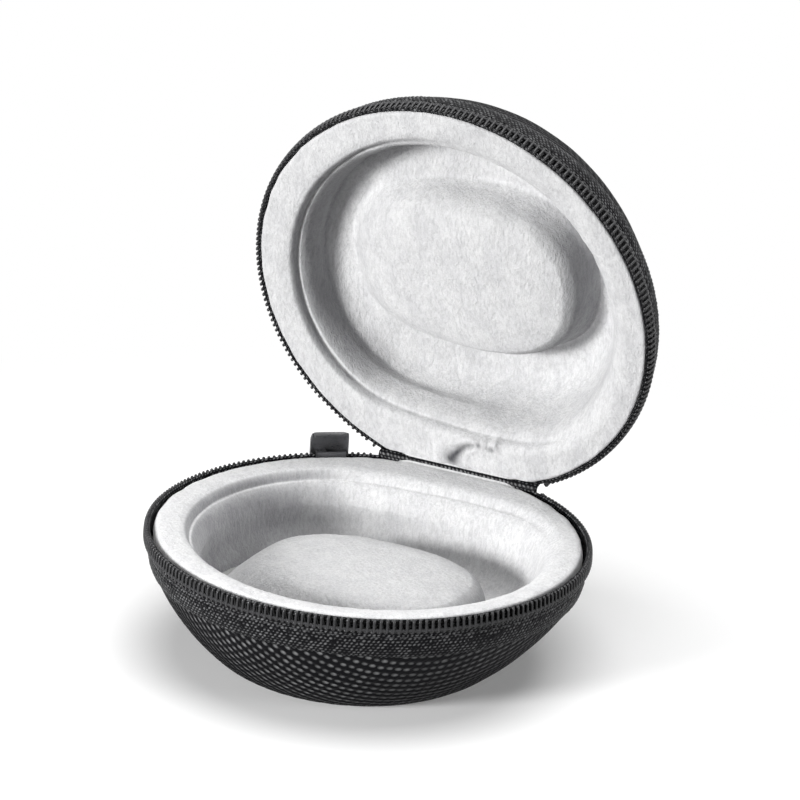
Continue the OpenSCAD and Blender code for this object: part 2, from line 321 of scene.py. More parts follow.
class Look:
    """A material with one Principled shader and short calls for its nodes."""

    def __init__(self, name, roughness, **values):
        self.material = bpy.data.materials.new(name)
        self.material.use_nodes = True
        self.tree = self.material.node_tree
        self.shader = self.tree.nodes["Principled BSDF"]
        self.shader.inputs["Roughness"].default_value = roughness
        for key, value in values.items():
            self.shader.inputs[key.replace("_", " ")].default_value = value
        self.where = self.tree.nodes.new("ShaderNodeTexCoord")

    def node(self, kind, links=(), **settings):
        return new_node(self.tree, kind, links, **settings)

    def place(self, source="Object", scale=(1, 1, 1), turn=(0, 0, 0)):
        return self.node(
            "Mapping", {"Vector": self.where.outputs[source], "Scale": scale, "Rotation": turn}
        ).outputs[0]

    def noise(self, vector, scale, detail=3, rough=0.55, distortion=0.0):
        links = {"Vector": vector, "Scale": scale, "Detail": detail}
        links |= {"Roughness": rough, "Distortion": distortion}
        return self.node("TexNoise", links).outputs[0]

    def ramp(self, value, *stops):
        node = self.node("ValToRGB", {"Fac": value})
        elements = node.color_ramp.elements
        while len(elements) < len(stops):
            elements.new(0.5)
        for element, (position, shade) in zip(elements, stops):
            element.position = position
            element.color = (*shade, 1) if isinstance(shade, tuple) else (shade, shade, shade, 1)
        return node.outputs[0]

    def mix(self, factor, a, b, blend="MIX"):
        links = {0: factor, 6: a, 7: b}
        return self.node("Mix", links, data_type="RGBA", blend_type=blend).outputs[2]

    def bump(self, height, strength, distance, before=None):
        links = {"Height": height, "Strength": strength, "Distance": distance}
        if before is not None:
            links["Normal"] = before
        return self.node("Bump", links).outputs[0]

    def finish(self, color=None, rough=None, normal=None):
        for name, value in (("Base Color", color), ("Roughness", rough), ("Normal", normal)):
            if value is not None:
                self.tree.links.new(value, self.shader.inputs[name])
        return self.material


def dimmed(shade, factor):
    return tuple(factor * c for c in shade)


def velvet_look(name, turn, light, dark):
    """Brushed velvet, with shade painted into its colour. The attribute painted_wall_shade_share is
    1 where a wall gets painted shade, partly standing for the pile seen from behind, and the
    attribute crease is 1 deep in a fold, where a darker shade is painted."""
    look = Look(name, 0.92, Sheen_Weight=0.35, Sheen_Roughness=0.45, Specular_IOR_Level=0.12)
    even = look.place()
    brushed = look.place(scale=(1, 1, 0.35), turn=turn)
    nap = look.noise(brushed, 240, 3, 0.5, 0.3)
    tufts = look.noise(brushed, 1300, 3, 0.65, 0.6)
    pile = look.noise(even, 2600, 2, 0.6)
    shade = look.ramp(nap, (0.36, dark), (0.62, light))
    shade = look.mix(0.3, shade, look.ramp(tufts, (0.38, 0.5), (0.58, 1.0)), "MULTIPLY")
    color = look.mix(0.2, shade, look.ramp(pile, (0.35, 0.5), (0.65, 1.0)), "MULTIPLY")
    # Painted shade on the recess walls, partly standing for the pile seen from behind
    wall_shade_mask = look.node("Attribute", attribute_name="painted_wall_shade_share").outputs["Fac"]
    color = look.mix(wall_shade_mask, color, PAINTED_WALL_SHADE, "MULTIPLY")
    # Painted shade deep in the crease and dimples near the hinge
    fold_shade_mask = look.node("Attribute", attribute_name="crease").outputs["Fac"]
    color = look.mix(fold_shade_mask, color, PAINTED_FOLD_SHADE, "MULTIPLY")
    normal = look.bump(pile, 0.6, 0.00015, look.bump(tufts, 0.8, 0.0004))
    return look.finish(color=color, normal=normal)


def cloth_look(name, dark, light, low, high, roughness, lines):
    """Black synthetic weave with painted highlights and painted shade: dark as painted shade where
    the attribute rise is 0, light as painted highlights where it is 1.
    """
    look = Look(name, roughness, Specular_IOR_Level=0.08)
    rise = look.node("Attribute", attribute_name="rise").outputs["Fac"]
    even = look.place()
    drift = look.noise(even, 90, 3, 0.55)
    grain = look.noise(even, 2400, 2, 0.6)
    # Painted shade where rise is low, painted highlights where it is high
    shade = look.ramp(rise, (low, dark), (high, light))
    color = look.mix(0.5, shade, look.ramp(drift, (0.3, 0.6), (0.7, 1.0)), "MULTIPLY")
    rough = look.ramp(grain, (0.2, roughness - 0.1), (0.8, roughness + 0.12))
    links = {"Vector": look.place("UV"), "Scale": lines}
    links |= {"Distortion": 1.2, "Detail": 2.0, "Detail Scale": 2.0}
    yarn = look.node("TexWave", links, bands_direction="Y").outputs[1]
    normal = look.bump(grain, 0.3, 0.00005, look.bump(yarn, 0.45, 0.00006))
    return look.finish(color=color, rough=rough, normal=normal)


def nylon_look(name, shade, roughness):
    """Glossy nylon with faint scuffs."""
    look = Look(name, roughness, Specular_IOR_Level=0.3)
    even = look.place()
    drift = look.noise(even, 400, 3, 0.55)
    scuff = look.noise(even, 2200, 3, 0.65)
    color = look.ramp(drift, (0.3, dimmed(shade, 0.75)), (0.7, dimmed(shade, 1.25)))
    rough = look.ramp(scuff, (0.3, roughness - 0.06), (0.75, roughness + 0.12))
    return look.finish(color=color, rough=rough, normal=look.bump(scuff, 0.12, 0.00003))


def thread_look(name, shade, roughness):
    """Twisted yarn with a little fuzz."""
    look = Look(name, roughness, Specular_IOR_Level=0.4, Sheen_Weight=0.15, Sheen_Roughness=0.5)
    even = look.place()
    links = {"Vector": look.place(turn=(0.5, 0.7, 0.3)), "Scale": 900.0, "Distortion": 1.0}
    twist = look.node("TexWave", links).outputs[1]
    fuzz = look.noise(even, 1800, 3, 0.6)
    color = look.ramp(fuzz, (0.3, dimmed(shade, 0.7)), (0.7, dimmed(shade, 1.4)))
    return look.finish(color=color, normal=look.bump(twist, 0.5, 0.00008))


def metal_look(name, shade, roughness):
    """Plated metal with fine scratches."""
    look = Look(name, roughness, Metallic=0.75, Specular_IOR_Level=0.5)
    even = look.place()
    drift = look.noise(even, 160, 4, 0.6)
    scratch = look.noise(look.place(scale=(1, 1, 9)), 700, 4, 0.65)
    color = look.ramp(drift, (0.3, dimmed(shade, 0.8)), (0.75, dimmed(shade, 1.3)))
    rough = look.ramp(scratch, (0.3, roughness - 0.06), (0.7, roughness + 0.1))
    return look.finish(color=color, rough=rough, normal=look.bump(scratch, 0.08, 0.00003))


def foam_look(name, shade, scale):
    """Foam with small closed cells."""
    look = Look(name, 0.85, Specular_IOR_Level=0.2)
    even = look.place()
    cells = look.node("TexVoronoi", {"Vector": even, "Scale": scale}).outputs[0]
    drift = look.noise(even, 80, 3, 0.55)
    color = look.ramp(drift, (0.3, dimmed(shade, 0.85)), (0.7, shade))
    color = look.mix(0.4, color, look.ramp(cells, (0.0, 1.0), (0.8, 0.6)), "MULTIPLY")
    return look.finish(color=color, normal=look.bump(cells, 0.4, 0.0002))


MATERIALS = {
    # Cover: light is a painted highlight on the cells, dark a painted shade in the net
    "cover_weave": cloth_look(
        "cover_weave", dark=PAINTED_GAP_SHADE, light=(0.26, 0.262, 0.266), low=0.5, high=0.95,
        roughness=0.38, lines=3.2,
    ),
    # Tape and hinge band: light is a painted highlight on the stitches, dark a painted shade
    # between them
    "tape_weave": cloth_look(
        "tape_weave", dark=PAINTED_GAP_SHADE, light=(0.2, 0.202, 0.206), low=0.3, high=0.85,
        roughness=0.45, lines=5.0,
    ),
    "base_velvet": velvet_look("base_velvet", (0, 0, 0.6), (0.8, 0.8, 0.805), (0.73, 0.73, 0.74)),
    # Painted shade: the lid's velvet is the same cloth as the base's, made a little darker
    "lid_velvet": velvet_look("lid_velvet", (0.27, 0, 0), (0.77, 0.77, 0.775), (0.69, 0.69, 0.7)),
    "coil_nylon": nylon_look("coil_nylon", (0.03, 0.03, 0.032), 0.22),
    "stop_plastic": nylon_look("stop_plastic", (0.013, 0.013, 0.015), 0.33),
    "cord_yarn": thread_look("cord_yarn", (0.02, 0.02, 0.022), 0.75),
    "thread": thread_look("thread", (0.035, 0.035, 0.038), 0.6),
    "slider_metal": metal_look("slider_metal", (0.1, 0.101, 0.107), 0.3),
    "pull_metal": metal_look("pull_metal", (0.11, 0.111, 0.118), 0.28),
    "shell_foam": foam_look("shell_foam", (0.05, 0.05, 0.052), 1400.0),
    "insert_foam": foam_look("insert_foam", (0.5, 0.5, 0.49), 1200.0),
    "dense_pad": foam_look("dense_pad", (0.08, 0.08, 0.082), 1600.0),
    "light_pad": foam_look("light_pad", (0.62, 0.62, 0.6), 1200.0),
}

# ---- covers: one planar cloth moulded over each bowl ---------------------

CLOTH_STEP = 0.25
KNOT_WIDE = 3.45
KNOT_HIGH = 3.25
# How far the net, in painted shade, stands out past the cells, which carry painted highlights
KNOT_DEPTH = 0.42
COVER_SWELL = 0.05


def bowl_profile():
    """Radius and depth along the bowl from its middle to its top edge."""
    a = np.radians(np.linspace(0, 59, 400))
    height = BOWL_RADIUS * np.cos(a) - SPHERE_CENTRE
    m = np.minimum(-np.log(np.exp(-height) + np.exp(-COVER_LEVEL)), HALF_HEIGHT)
    r = BOWL_RADIUS * np.sin(a)
    rim = catmull([[r[-1], m[-1]], [51.95, 9], [52.45, 7.5], [TAPE_RADIUS, RIM_DEPTH]], 60)[1:]
    return np.concatenate([r, rim[:, 0]]), np.concatenate([m, rim[:, 1]])


def shift_at(m):
    """How far forward the bowl's circles lie at a depth."""
    return BOWL_SHIFT * np.maximum(0, m - TAPE_BOTTOM) / (HALF_HEIGHT - TAPE_BOTTOM)


def knot_rise(u, v, seed):
    """The cells of a weave that lies at 45 degrees, which carry painted highlights: 0 on the net,
    which carries painted shade, up to 1 in them.
    """
    p = u / KNOT_WIDE + v / KNOT_HIGH
    q = v / KNOT_HIGH - u / KNOT_WIDE
    row, column = np.round(p), np.round(q)
    a, b = 2 * (p - row), 2 * (q - column)
    rng = np.random.default_rng(seed)
    sway = rng.uniform(-0.12, 0.12, (2, 256, 256))
    table = rng.uniform(0.8, 1.0, (256, 256))
    place = row.astype(int) % 256, column.astype(int) % 256
    a, b = a + sway[0][place], b + sway[1][place]
    d = np.clip(np.hypot(0.86 * a, 1.3 * b), 0, 1.15)
    return np.cos(np.clip(d / 1.15, 0, 1) * math.pi / 2) * table[place]


def make_cover(half):
    """A square cloth laid over the bowl from its middle, so that its knots run as on a real one."""
    r_of, m_of = bowl_profile()
    arc = np.concatenate([[0], np.cumsum(np.hypot(np.diff(r_of), np.diff(m_of)))])
    reach = arc[-1]
    count = int(reach / CLOTH_STEP)
    line = np.arange(-count, count + 1) * CLOTH_STEP
    u, v = np.meshgrid(line, line)
    s = np.hypot(u, v)
    safe = np.maximum(s, 1e-9)
    r = np.interp(s, arc, r_of)
    m = np.interp(s, arc, m_of)
    x = r * u / safe
    y = np.minimum(r * v / safe - shift_at(m), BACK_FLAT)
    points = np.stack([x, y, -m], axis=-1)
    # This normal points into the bowl, so the cells lie on the CAD surface and the net stands out
    normal = -grid_normals(points, False)
    rise = knot_rise(u, v, SEEDS[half]["knots"])
    swell = COVER_SWELL * smooth_noise(points, 14, 11)
    off_floor = np.clip((HALF_HEIGHT - 0.2 - m) / 2, 0, 1)
    lift = KNOT_DEPTH * (rise - 1) + swell * off_floor - COVER_SWELL * off_floor
    points = points + normal * lift[..., None]
    inside = s < reach - 0.35
    index = np.cumsum(inside.ravel()).reshape(inside.shape) - 1
    faces = grid_faces(*inside.shape, False)
    good = inside.ravel()[faces].all(axis=1)
    faces = index.ravel()[faces[good]]
    points = points[inside]
    faces = faced(points, faces, lambda middle: middle)
    piece = make_piece(
        f"{half}_woven_cover", points, faces, HALVES[half], MATERIALS["cover_weave"],
        uv=np.stack([u[inside], v[inside]], axis=1) / 10, values={"rise": rise[inside]},
    )
    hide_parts(f"{half}_cover")
    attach(piece, half)


# ---- zip tapes -----------------------------------------------------------

# Radius and depth, from the inner side over the edge at the coil and down to the cover
TAPE_PROFILE = [
    [52.75, 5.0], [52.72, 1.5], [52.8, 0.7], [53.0, 0.45], [53.25, 0.5], [53.4, 0.85], [53.3, 1.4],
    [53.12, 2.4], [53.1, 5.2], [52.98, 7.2], [52.72, 8.6], [52.4, 9.5], [52.1, 10.1],
    [51.7, 10.45], [51.2, 10.3],
]
TAPE_ENDS = (24.3, 335.7)
TAPE_CELL = (1.1, 0.78)
TAPE_RELIEF = 0.22


def tape_rise(along, across, seed):
    """Small staggered stitches of the tape, uneven in height and size."""
    wobble = 0.12 * smooth_noise(np.stack([along, across, 0 * along], -1), 1.6, seed)
    v = across / TAPE_CELL[1] + wobble
    row = np.floor(v)
    u = along / TAPE_CELL[0] + 0.5 * np.mod(row, 2) + wobble
    column = np.floor(u)
    a, b = 2 * (u - column) - 1, 2 * (v - row) - 1
    rng = np.random.default_rng(seed)
    table = rng.uniform(0.5, 1.0, (997, 61))
    tilt = 0.55 * a * b
    d = np.clip(np.sqrt(a**2 + b**2) + tilt, 0, 1)
    return np.cos(d * math.pi / 2) * table[column.astype(int) % 997, row.astype(int) % 61]


def make_tape(half):
    profile = catmull(TAPE_PROFILE, 84)
    across = lengths_along(profile)
    angles = np.linspace(*TAPE_ENDS, 1500)
    along = np.radians(angles) * TAPE_OUT
    grid = np.stack([round_rim(angles, r, m) for r, m in profile])
    a, b = np.meshgrid(along, across)
    normal = grid_normals(grid, False)
    outward = np.stack([grid[..., 0], grid[..., 1], 0 * grid[..., 0]], -1)
    if np.sum(normal[40] * outward[40]) < 0:
        normal = -normal
    rise = tape_rise(a, b, SEEDS[half]["tape"])
    ease = np.clip((across - 6) / 1.5, 0, 1)[:, None]
    points = grid + normal * (TAPE_RELIEF * (rise - 0.6) * (0.35 + 0.65 * ease))[..., None]
    faces = grid_faces(*a.shape, False)
    flat = points.reshape(-1, 3)
    sample = slice(len(faces) // 2, len(faces) // 2 + 500)
    faces = faced(flat, faces, lambda middle: middle * np.array([1, 1, 0]), sample)
    piece = make_piece(
        f"{half}_tape_band", flat, faces, HALVES[half], MATERIALS["tape_weave"],
        uv=np.stack([a.ravel(), b.ravel()], axis=1) / 10, values={"rise": rise},
    )
    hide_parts(f"{half}_zip_tape")
    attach(piece, half)


# ---- coils, cords, stitches and stops ------------------------------------

# One turn of the coil: how far along the pitch, radius, depth
COIL_TURN = [
    [0.00, 53.96, 3.35], [0.00, 53.98, 2.3], [0.00, 53.9, 1.2], [0.02, 53.8, 0.68],
    [0.05, 53.64, 0.48], [0.08, 53.48, 0.7], [0.12, 53.4, 1.4], [0.30, 53.4, 2.5],
    [0.55, 53.45, 3.35], [0.82, 53.72, 3.72],
]
TURN_STEPS = 20
WIRE_RADIUS = 0.3
WIRE_SIDES = 9
# The wire is wider along the rim, most of all at the heads of the turns, above HEAD_DEPTH
WIRE_WIDTH = 1.1
HEAD_SPREAD = 0.25
HEAD_DEPTH = 1.3
# The lid's turns are squeezed where the parked slider takes them between its divider and flange:
# over how many degrees on either side, and the least and largest depth of a squeezed turn
SLIDER_REACH = 9
SQUEEZED_TURN = (0.78, 3.4)


def zip_turns():
    """The angle of a coil's first turn, the step between turns and how many there are."""
    step = math.degrees(TOOTH_PITCH / COIL_RADIUS)
    count = int((360 - 2 * ZIP_END - 2 * STOP_ANGLE - 1) / step)
    return 180 - (count - 1) * step / 2, step, count


def make_coil(half):
    first, step, count = zip_turns()
    offset = 0 if half == "base" else 0.5
    turns = np.concatenate([np.array(COIL_TURN) + [k, 0, 0] for k in range(count)])
    turns[:, 0] *= TOOTH_PITCH
    smooth = catmull(turns, count * TURN_STEPS)
    angles = first + (smooth[:, 0] / TOOTH_PITCH + offset) * step
    depth = smooth[:, 2]
    if half == "lid":
        inside = np.clip((SLIDER_REACH - np.abs(angles - PARK_ANGLE)) / 2, 0, 1)
        squeezed = np.interp(depth, [depth.min(), depth.max()], SQUEEZED_TURN)
        depth = depth + inside * (squeezed - depth)
    points = round_rim(angles, smooth[:, 1], depth)
    head = np.clip((HEAD_DEPTH - smooth[:, 2]) / 0.8, 0, 1)
    width = (WIRE_WIDTH + HEAD_SPREAD * head)[:, None, None]
    rings = tube(points, WIRE_RADIUS, WIRE_SIDES, rim_way(angles), width)
    faces = grid_faces(len(points), WIRE_SIDES, True)[:, ::-1]
    piece = make_piece(f"{half}_coil", rings, faces, HALVES[half], MATERIALS["coil_nylon"])
    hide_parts(f"{half}_zip_coil")
    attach(piece, half)


CORD_DEPTH = 2.95
CORD_STRANDS = 3
STRAND_RADIUS = 0.2
STRAND_PITCH = 1.1


def make_cord(half):
    start, stop = ZIP_END + STOP_ANGLE, 360 - ZIP_END - STOP_ANGLE
    angles = np.linspace(start, stop, 1400)
    along = np.radians(angles) * COIL_RADIUS / STRAND_PITCH
    strands = []
    for k in range(CORD_STRANDS):
        twist = along * 2 * math.pi / CORD_STRANDS + k * 2 * math.pi / CORD_STRANDS
        radius = COIL_RADIUS + 0.14 * np.cos(twist)
        path = round_rim(angles, radius, CORD_DEPTH + 0.16 * np.sin(twist))
        rings = tube(path, STRAND_RADIUS, 6, upward(path))
        strands.append((rings.reshape(-1, 3), grid_faces(len(path), 6, True)[:, ::-1]))
    points, faces = joined(strands)
    piece = make_piece(f"{half}_filler_cord", points, faces, HALVES[half], MATERIALS["cord_yarn"])
    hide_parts(f"{half}_coil_cord")
    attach(piece, half)


STITCH_PITCH = 3.2
STITCH_REACH = 1.05
STITCH_DEPTH = 4.92
THREAD_RADIUS = 0.13


def make_stitches(half):
    step = math.degrees(STITCH_PITCH / TAPE_OUT)
    count = int((360 - 2 * ZIP_END - 2) / step)
    first = 180 - (count - 1) * step / 2
    rng = np.random.default_rng(SEEDS[half]["stitches"])
    parts = []
    for k in range(count):
        t = np.linspace(-1, 1, 11)
        lean = rng.uniform(-0.06, 0.06)
        angles = first + k * step + t * math.degrees(STITCH_REACH / TAPE_OUT)
        radius = TAPE_OUT + 0.14 * (1 - np.abs(t) ** 3) - 0.04
        path = round_rim(angles, radius, STITCH_DEPTH + lean * t + rng.uniform(-0.03, 0.03))
        parts.append(capped_tube(path, THREAD_RADIUS, 8, upward(path)))
    points, faces = joined(parts)
    piece = make_piece(f"{half}_tape_stitches", points, faces, HALVES[half], MATERIALS["thread"])
    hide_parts(f"{half}_tape_stitching")
    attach(piece, half)


def blob(centre, half_size, power, seed):
    """A superellipsoid with a little unevenness. half_size is (along, out, down)."""
    rows, columns = 18, 28
    a = np.linspace(-math.pi / 2 + 0.01, math.pi / 2 - 0.01, rows)[:, None]
    b = (np.arange(columns) * 2 * math.pi / columns)[None, :]

    def bent(value):
        return np.sign(value) * np.abs(value) ** power

    ring = bent(np.cos(a))
    local = np.stack([ring * bent(np.cos(b)), ring * bent(np.sin(b)), bent(np.sin(a)) + 0 * b], -1)
    local *= 1 + 0.05 * smooth_noise(local * 3, 2.2, seed)[..., None]
    local *= np.array(half_size)
    angle, radius, m = centre
    t = math.radians(angle)
    along = np.array([-math.cos(t), -math.sin(t), 0])
    out = np.array([-math.sin(t), math.cos(t), 0])
    points = (
        round_rim(angle, radius, m)
        + local[..., :1] * along + local[..., 1:2] * out - local[..., 2:] * np.array([0, 0, 1])
    ).reshape(-1, 3)
    faces = grid_faces(rows, columns, True)
    middle = points.mean(axis=0)
    return points, faced(points, faces, lambda at: at - middle)


# Where the end stops of the zip lie (radius and depth), and their half sizes
STOP_AT = (53.85, 2.1)
STOP_HALF_SIZE = (0.42, 0.76, 1.65)
STOP_POWER = 0.55


def make_stops(half):
    parts = []
    for k, angle in enumerate((ZIP_END + STOP_ANGLE / 2, 360 - ZIP_END - STOP_ANGLE / 2)):
        parts.append(blob((angle, *STOP_AT), STOP_HALF_SIZE, STOP_POWER, 41 + k))
    points, faces = joined(parts)
    piece = make_piece(
        f"{half}_melted_stops", points, faces, HALVES[half], MATERIALS["stop_plastic"]
    )
    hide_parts(f"{half}_zip_stops")
    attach(piece, half)


# ---- velvet linings ------------------------------------------------------

# A lining runs through stations, from the boss's middle to the rim. Each has a kind, a place and
# a depth. The place is a share of the boss's outline (BOSS), a share of the way across the hollow
# (FLOOR), mm outside the recess's outline (EDGE) or the radius of a ring round the rim (LIP).
BOSS, FLOOR, EDGE, LIP = range(4)
LINING_STATIONS = [
    (BOSS, 0.35, 8.4), (BOSS, 0.7, 9.0), (BOSS, 0.89, 10.1), (BOSS, 0.965, 12.2),
    (BOSS, 1, 15.0), (BOSS, 1.03, 18.2),
    (FLOOR, 0, 20.45), (FLOOR, 0.2, 20.6), (FLOOR, 0.5, 20.6), (FLOOR, 0.8, 20.6),
    (FLOOR, 1, 20.4),
    (EDGE, -6.6, 18.2), (EDGE, -4.4, 13.6), (EDGE, -3.2, 9.2), (EDGE, -2.7, 7.2),
    (EDGE, -2.1, 5.6), (EDGE, -1.4, 4.4), (EDGE, -0.6, 3.6), (EDGE, -0.2, 3.6),
    (EDGE, 0, 3.3), (EDGE, 0.2, 2.3), (EDGE, 0.9, 1.2), (EDGE, 2.2, 0.68),
]
LIP_STATIONS = {
    "base": [(LIP, 50.6, 0.6), (LIP, 51.5, 1.0), (LIP, 51.8, 1.9), (LIP, 51.8, 5.2)],
    "lid": [
        (LIP, 50.6, 0.55), (LIP, 52.1, 0.5), (LIP, 52.55, 0.8), (LIP, 52.62, 1.9),
        (LIP, 52.6, 5.2),
    ],
}
# The edge's stations at the right and front, where it is a plain curve. At the left and back
# there is a narrow shelf, with a small step up to the lip.
PLAIN_EDGE = {
    -3.2: (-3.2, 8.7), -2.7: (-2.8, 6.6), -2.1: (-2.3, 4.9), -1.4: (-1.6, 3.6),
    -0.6: (-0.9, 2.7), -0.2: (-0.1, 2.0), 0: (0.8, 1.45), 0.2: (1.8, 1.05), 0.9: (2.8, 0.82),
    2.2: (3.8, 0.7),
}
# How far the edge is drawn in at the front left and at the hinge's left end, and where that is
PINCH = 1.4
PINCH_ANGLE = math.radians(232)
BACK_PINCH = 2.2
BACK_PINCH_ANGLE = math.radians(338)
# Where stations lie at the boss's left end, which slopes more gently. In the lid the velvet is
# also stretched over the hollow there.
SOFT_SIDE = {
    "base": {
        (BOSS, 0.35): (0.33, 8.5), (BOSS, 0.7): (0.68, 9.2), (BOSS, 0.89): (0.87, 10.3),
        (BOSS, 0.965): (0.96, 12.1), (BOSS, 1): (1.06, 15.0), (BOSS, 1.03): (1.15, 17.4),
    },
    "lid": {
        (BOSS, 0.35): (0.32, 8.5), (BOSS, 0.7): (0.62, 9.1), (BOSS, 0.89): (0.76, 9.6),
        (BOSS, 0.965): (0.88, 10.4), (BOSS, 1): (0.98, 12.1), (BOSS, 1.03): (1.06, 14.2),
        (FLOOR, 0): (0, 15.3), (FLOOR, 0.2): (0.2, 15.5), (FLOOR, 0.5): (0.5, 15.6),
        (FLOOR, 0.8): (0.8, 15.5), (FLOOR, 1): (1, 15.4), (EDGE, -6.6): (-7.0, 14.3),
        (EDGE, -4.4): (-4.6, 12.1),
    },
}
LID_SOFT_ANGLE = math.radians(268)
# The boss's foot as a share of its outline, and how much further out it lies at the soft side
FOOT = 1.075
FOOT_SPREAD = {"base": 0.14, "lid": 0.03}
# How far inside the recess's outline its floor ends
FLOOR_INSET = 9.5


def softness(half, a):
    """1 at the angles where SOFT_SIDE holds, 0 where it doesn't."""
    if half == "base":
        return np.clip(-np.sin(a), 0, 1) ** 1.5
    return np.clip(1.1 * np.cos(a - LID_SOFT_ANGLE) + 0.15, 0, 1) ** 1.3


def plainness(a):
    """1 at the angles where PLAIN_EDGE holds, 0 where it doesn't."""
    return np.clip(0.95 * np.sin(a) - 0.55 * np.cos(a) + 0.2, 0, 1)


def boss_reach(a):
    """How far the boss's outline lies from its middle."""
    long, short = np.abs(np.sin(a)) / BOSS_LONG, np.abs(np.cos(a)) / BOSS_SHORT
    return (long**OVAL_POWER + short**OVAL_POWER) ** (-1 / OVAL_POWER)


def recess_reach(a):
    """How far the recess's outline lies from there: a circle, cut straight at the hinge."""
    circle = BOSS_FRONT * np.cos(a) + np.sqrt(RECESS_RADIUS**2 - (BOSS_FRONT * np.sin(a)) ** 2)
    back = (RECESS_BACK + BOSS_FRONT) / np.maximum(np.cos(a), 0.05)
    back = np.where(np.cos(a) > 0.05, back, 900)
    return (circle**-CORNER_POWER + back**-CORNER_POWER) ** (-1 / CORNER_POWER)


def lining_point(half, kind, value, depth, a):
    """Points of a station at angles a (radians from the hinge side towards +x)."""
    if kind == LIP:
        x = value * np.sin(a)
        y = np.minimum(value * np.cos(a), LIP_BACK - max(LIP_RADIUS - value, 0))
        return np.stack([x, y, -depth + 0 * a], axis=-1)
    soft = softness(half, a)
    foot = (FOOT + FOOT_SPREAD[half] * soft) * boss_reach(a)
    if kind == EDGE and value in PLAIN_EDGE:
        plain = plainness(a)
        rest = PLAIN_EDGE[value]
        value, depth = value + (rest[0] - value) * plain, depth + (rest[1] - depth) * plain
        value = value - PINCH * np.clip(np.cos(a - PINCH_ANGLE), 0, 1)
        value = value - BACK_PINCH * np.clip(np.cos(a - BACK_PINCH_ANGLE), 0, 1) ** 6
    elif (kind, value) in SOFT_SIDE[half]:
        rest = SOFT_SIDE[half][kind, value]
        value, depth = value + (rest[0] - value) * soft, depth + (rest[1] - depth) * soft
    wall_foot = np.maximum(recess_reach(a) - FLOOR_INSET, foot + 1)
    reach = {
        BOSS: value * boss_reach(a),
        FLOOR: foot + value * (wall_foot - foot),
        EDGE: recess_reach(a) + value,
    }[kind]
    y = reach * np.cos(a) - BOSS_FRONT
    return np.stack([reach * np.sin(a), y, -depth + 0 * a], axis=-1)


# Painted shade: walls that face right are darkened in colour, and so, less strongly, are walls that
# face the hinge and walls that face away from it. It partly stands for the pile, brushed one way,
# seen from behind.
SHADE_TO_HINGE = 0.8
SHADE_FROM_HINGE = 0.2
WALL_SHADE_CONTRAST = 1.8
WALL_SHADE_START = 0.75


def wall_shade_share(normal):
    """How much a surface with this normal is darkened, from 0 to 1: painted shade for walls in
    shade, partly standing for the pile seen from behind.
    """
    x, y = normal[..., 0], normal[..., 1]
    facing = x + np.where(y > 0, SHADE_TO_HINGE, -SHADE_FROM_HINGE) * y
    return np.clip(WALL_SHADE_CONTRAST * facing - WALL_SHADE_START, 0, 1)


# The lid's velvet is puckered where it was pushed in near the hinge: a crease (x, y, width at
# each point), then dimples and small knobs (x, y, depth, radius)
CREASE = [
    (-1.8, 46.4, 2.4), (-1.0, 45.2, 1.9), (0.4, 43.6, 1.3), (2.2, 42.1, 1.0), (4.2, 41.3, 0.8),
]
DENTS = [
    (5.9, 40.9, 0.55, 0.8), (9.5, 41.4, 0.55, 0.9), (10.6, 40.2, -1.3, 1.0),
    (7.4, 40.4, -0.8, 0.9),
]
CREASE_DEPTH = 0.6
# Beyond this y the crease stands up instead, because the hinge lining lies close under it
CREASE_TURNS_AT = 43.7
RIDGE_HEIGHT = 0.3
RIDGE_OFFSET = 1.7
RIDGE_WIDTH = 0.6


def pucker(x, y):
    """How far the lid's velvet is pushed in at x, y (less than 0 stands out), and how much shade is
    painted there, along the crease and in the dimples.
    """
    path = catmull(CREASE, 60)
    apart = np.hypot(x[..., None] - path[:, 0], y[..., None] - path[:, 1]) / path[:, 2]
    near = apart.min(axis=-1)
    fold = np.exp(-(near**2) * 1.6)
    ridge = RIDGE_HEIGHT * np.exp(-(((near - RIDGE_OFFSET) / RIDGE_WIDTH) ** 2))
    depth = CREASE_DEPTH * np.clip((CREASE_TURNS_AT - y) / 0.8, -0.7, 1) * fold - ridge
    # Painted shade along the crease, strongest towards the hinge, and in the pushed-in dimples
    shade = fold * np.clip((y - 38) / 6, 0.5, 1)
    for at_x, at_y, dent, radius in DENTS:
        spot = np.exp(-((np.hypot(x - at_x, y - at_y) / radius) ** 2))
        depth = depth + dent * spot
        shade = np.maximum(shade, 0.7 * spot * (dent > 0))
    return depth, shade


LINING_RINGS = 260
LINING_RAYS = 620


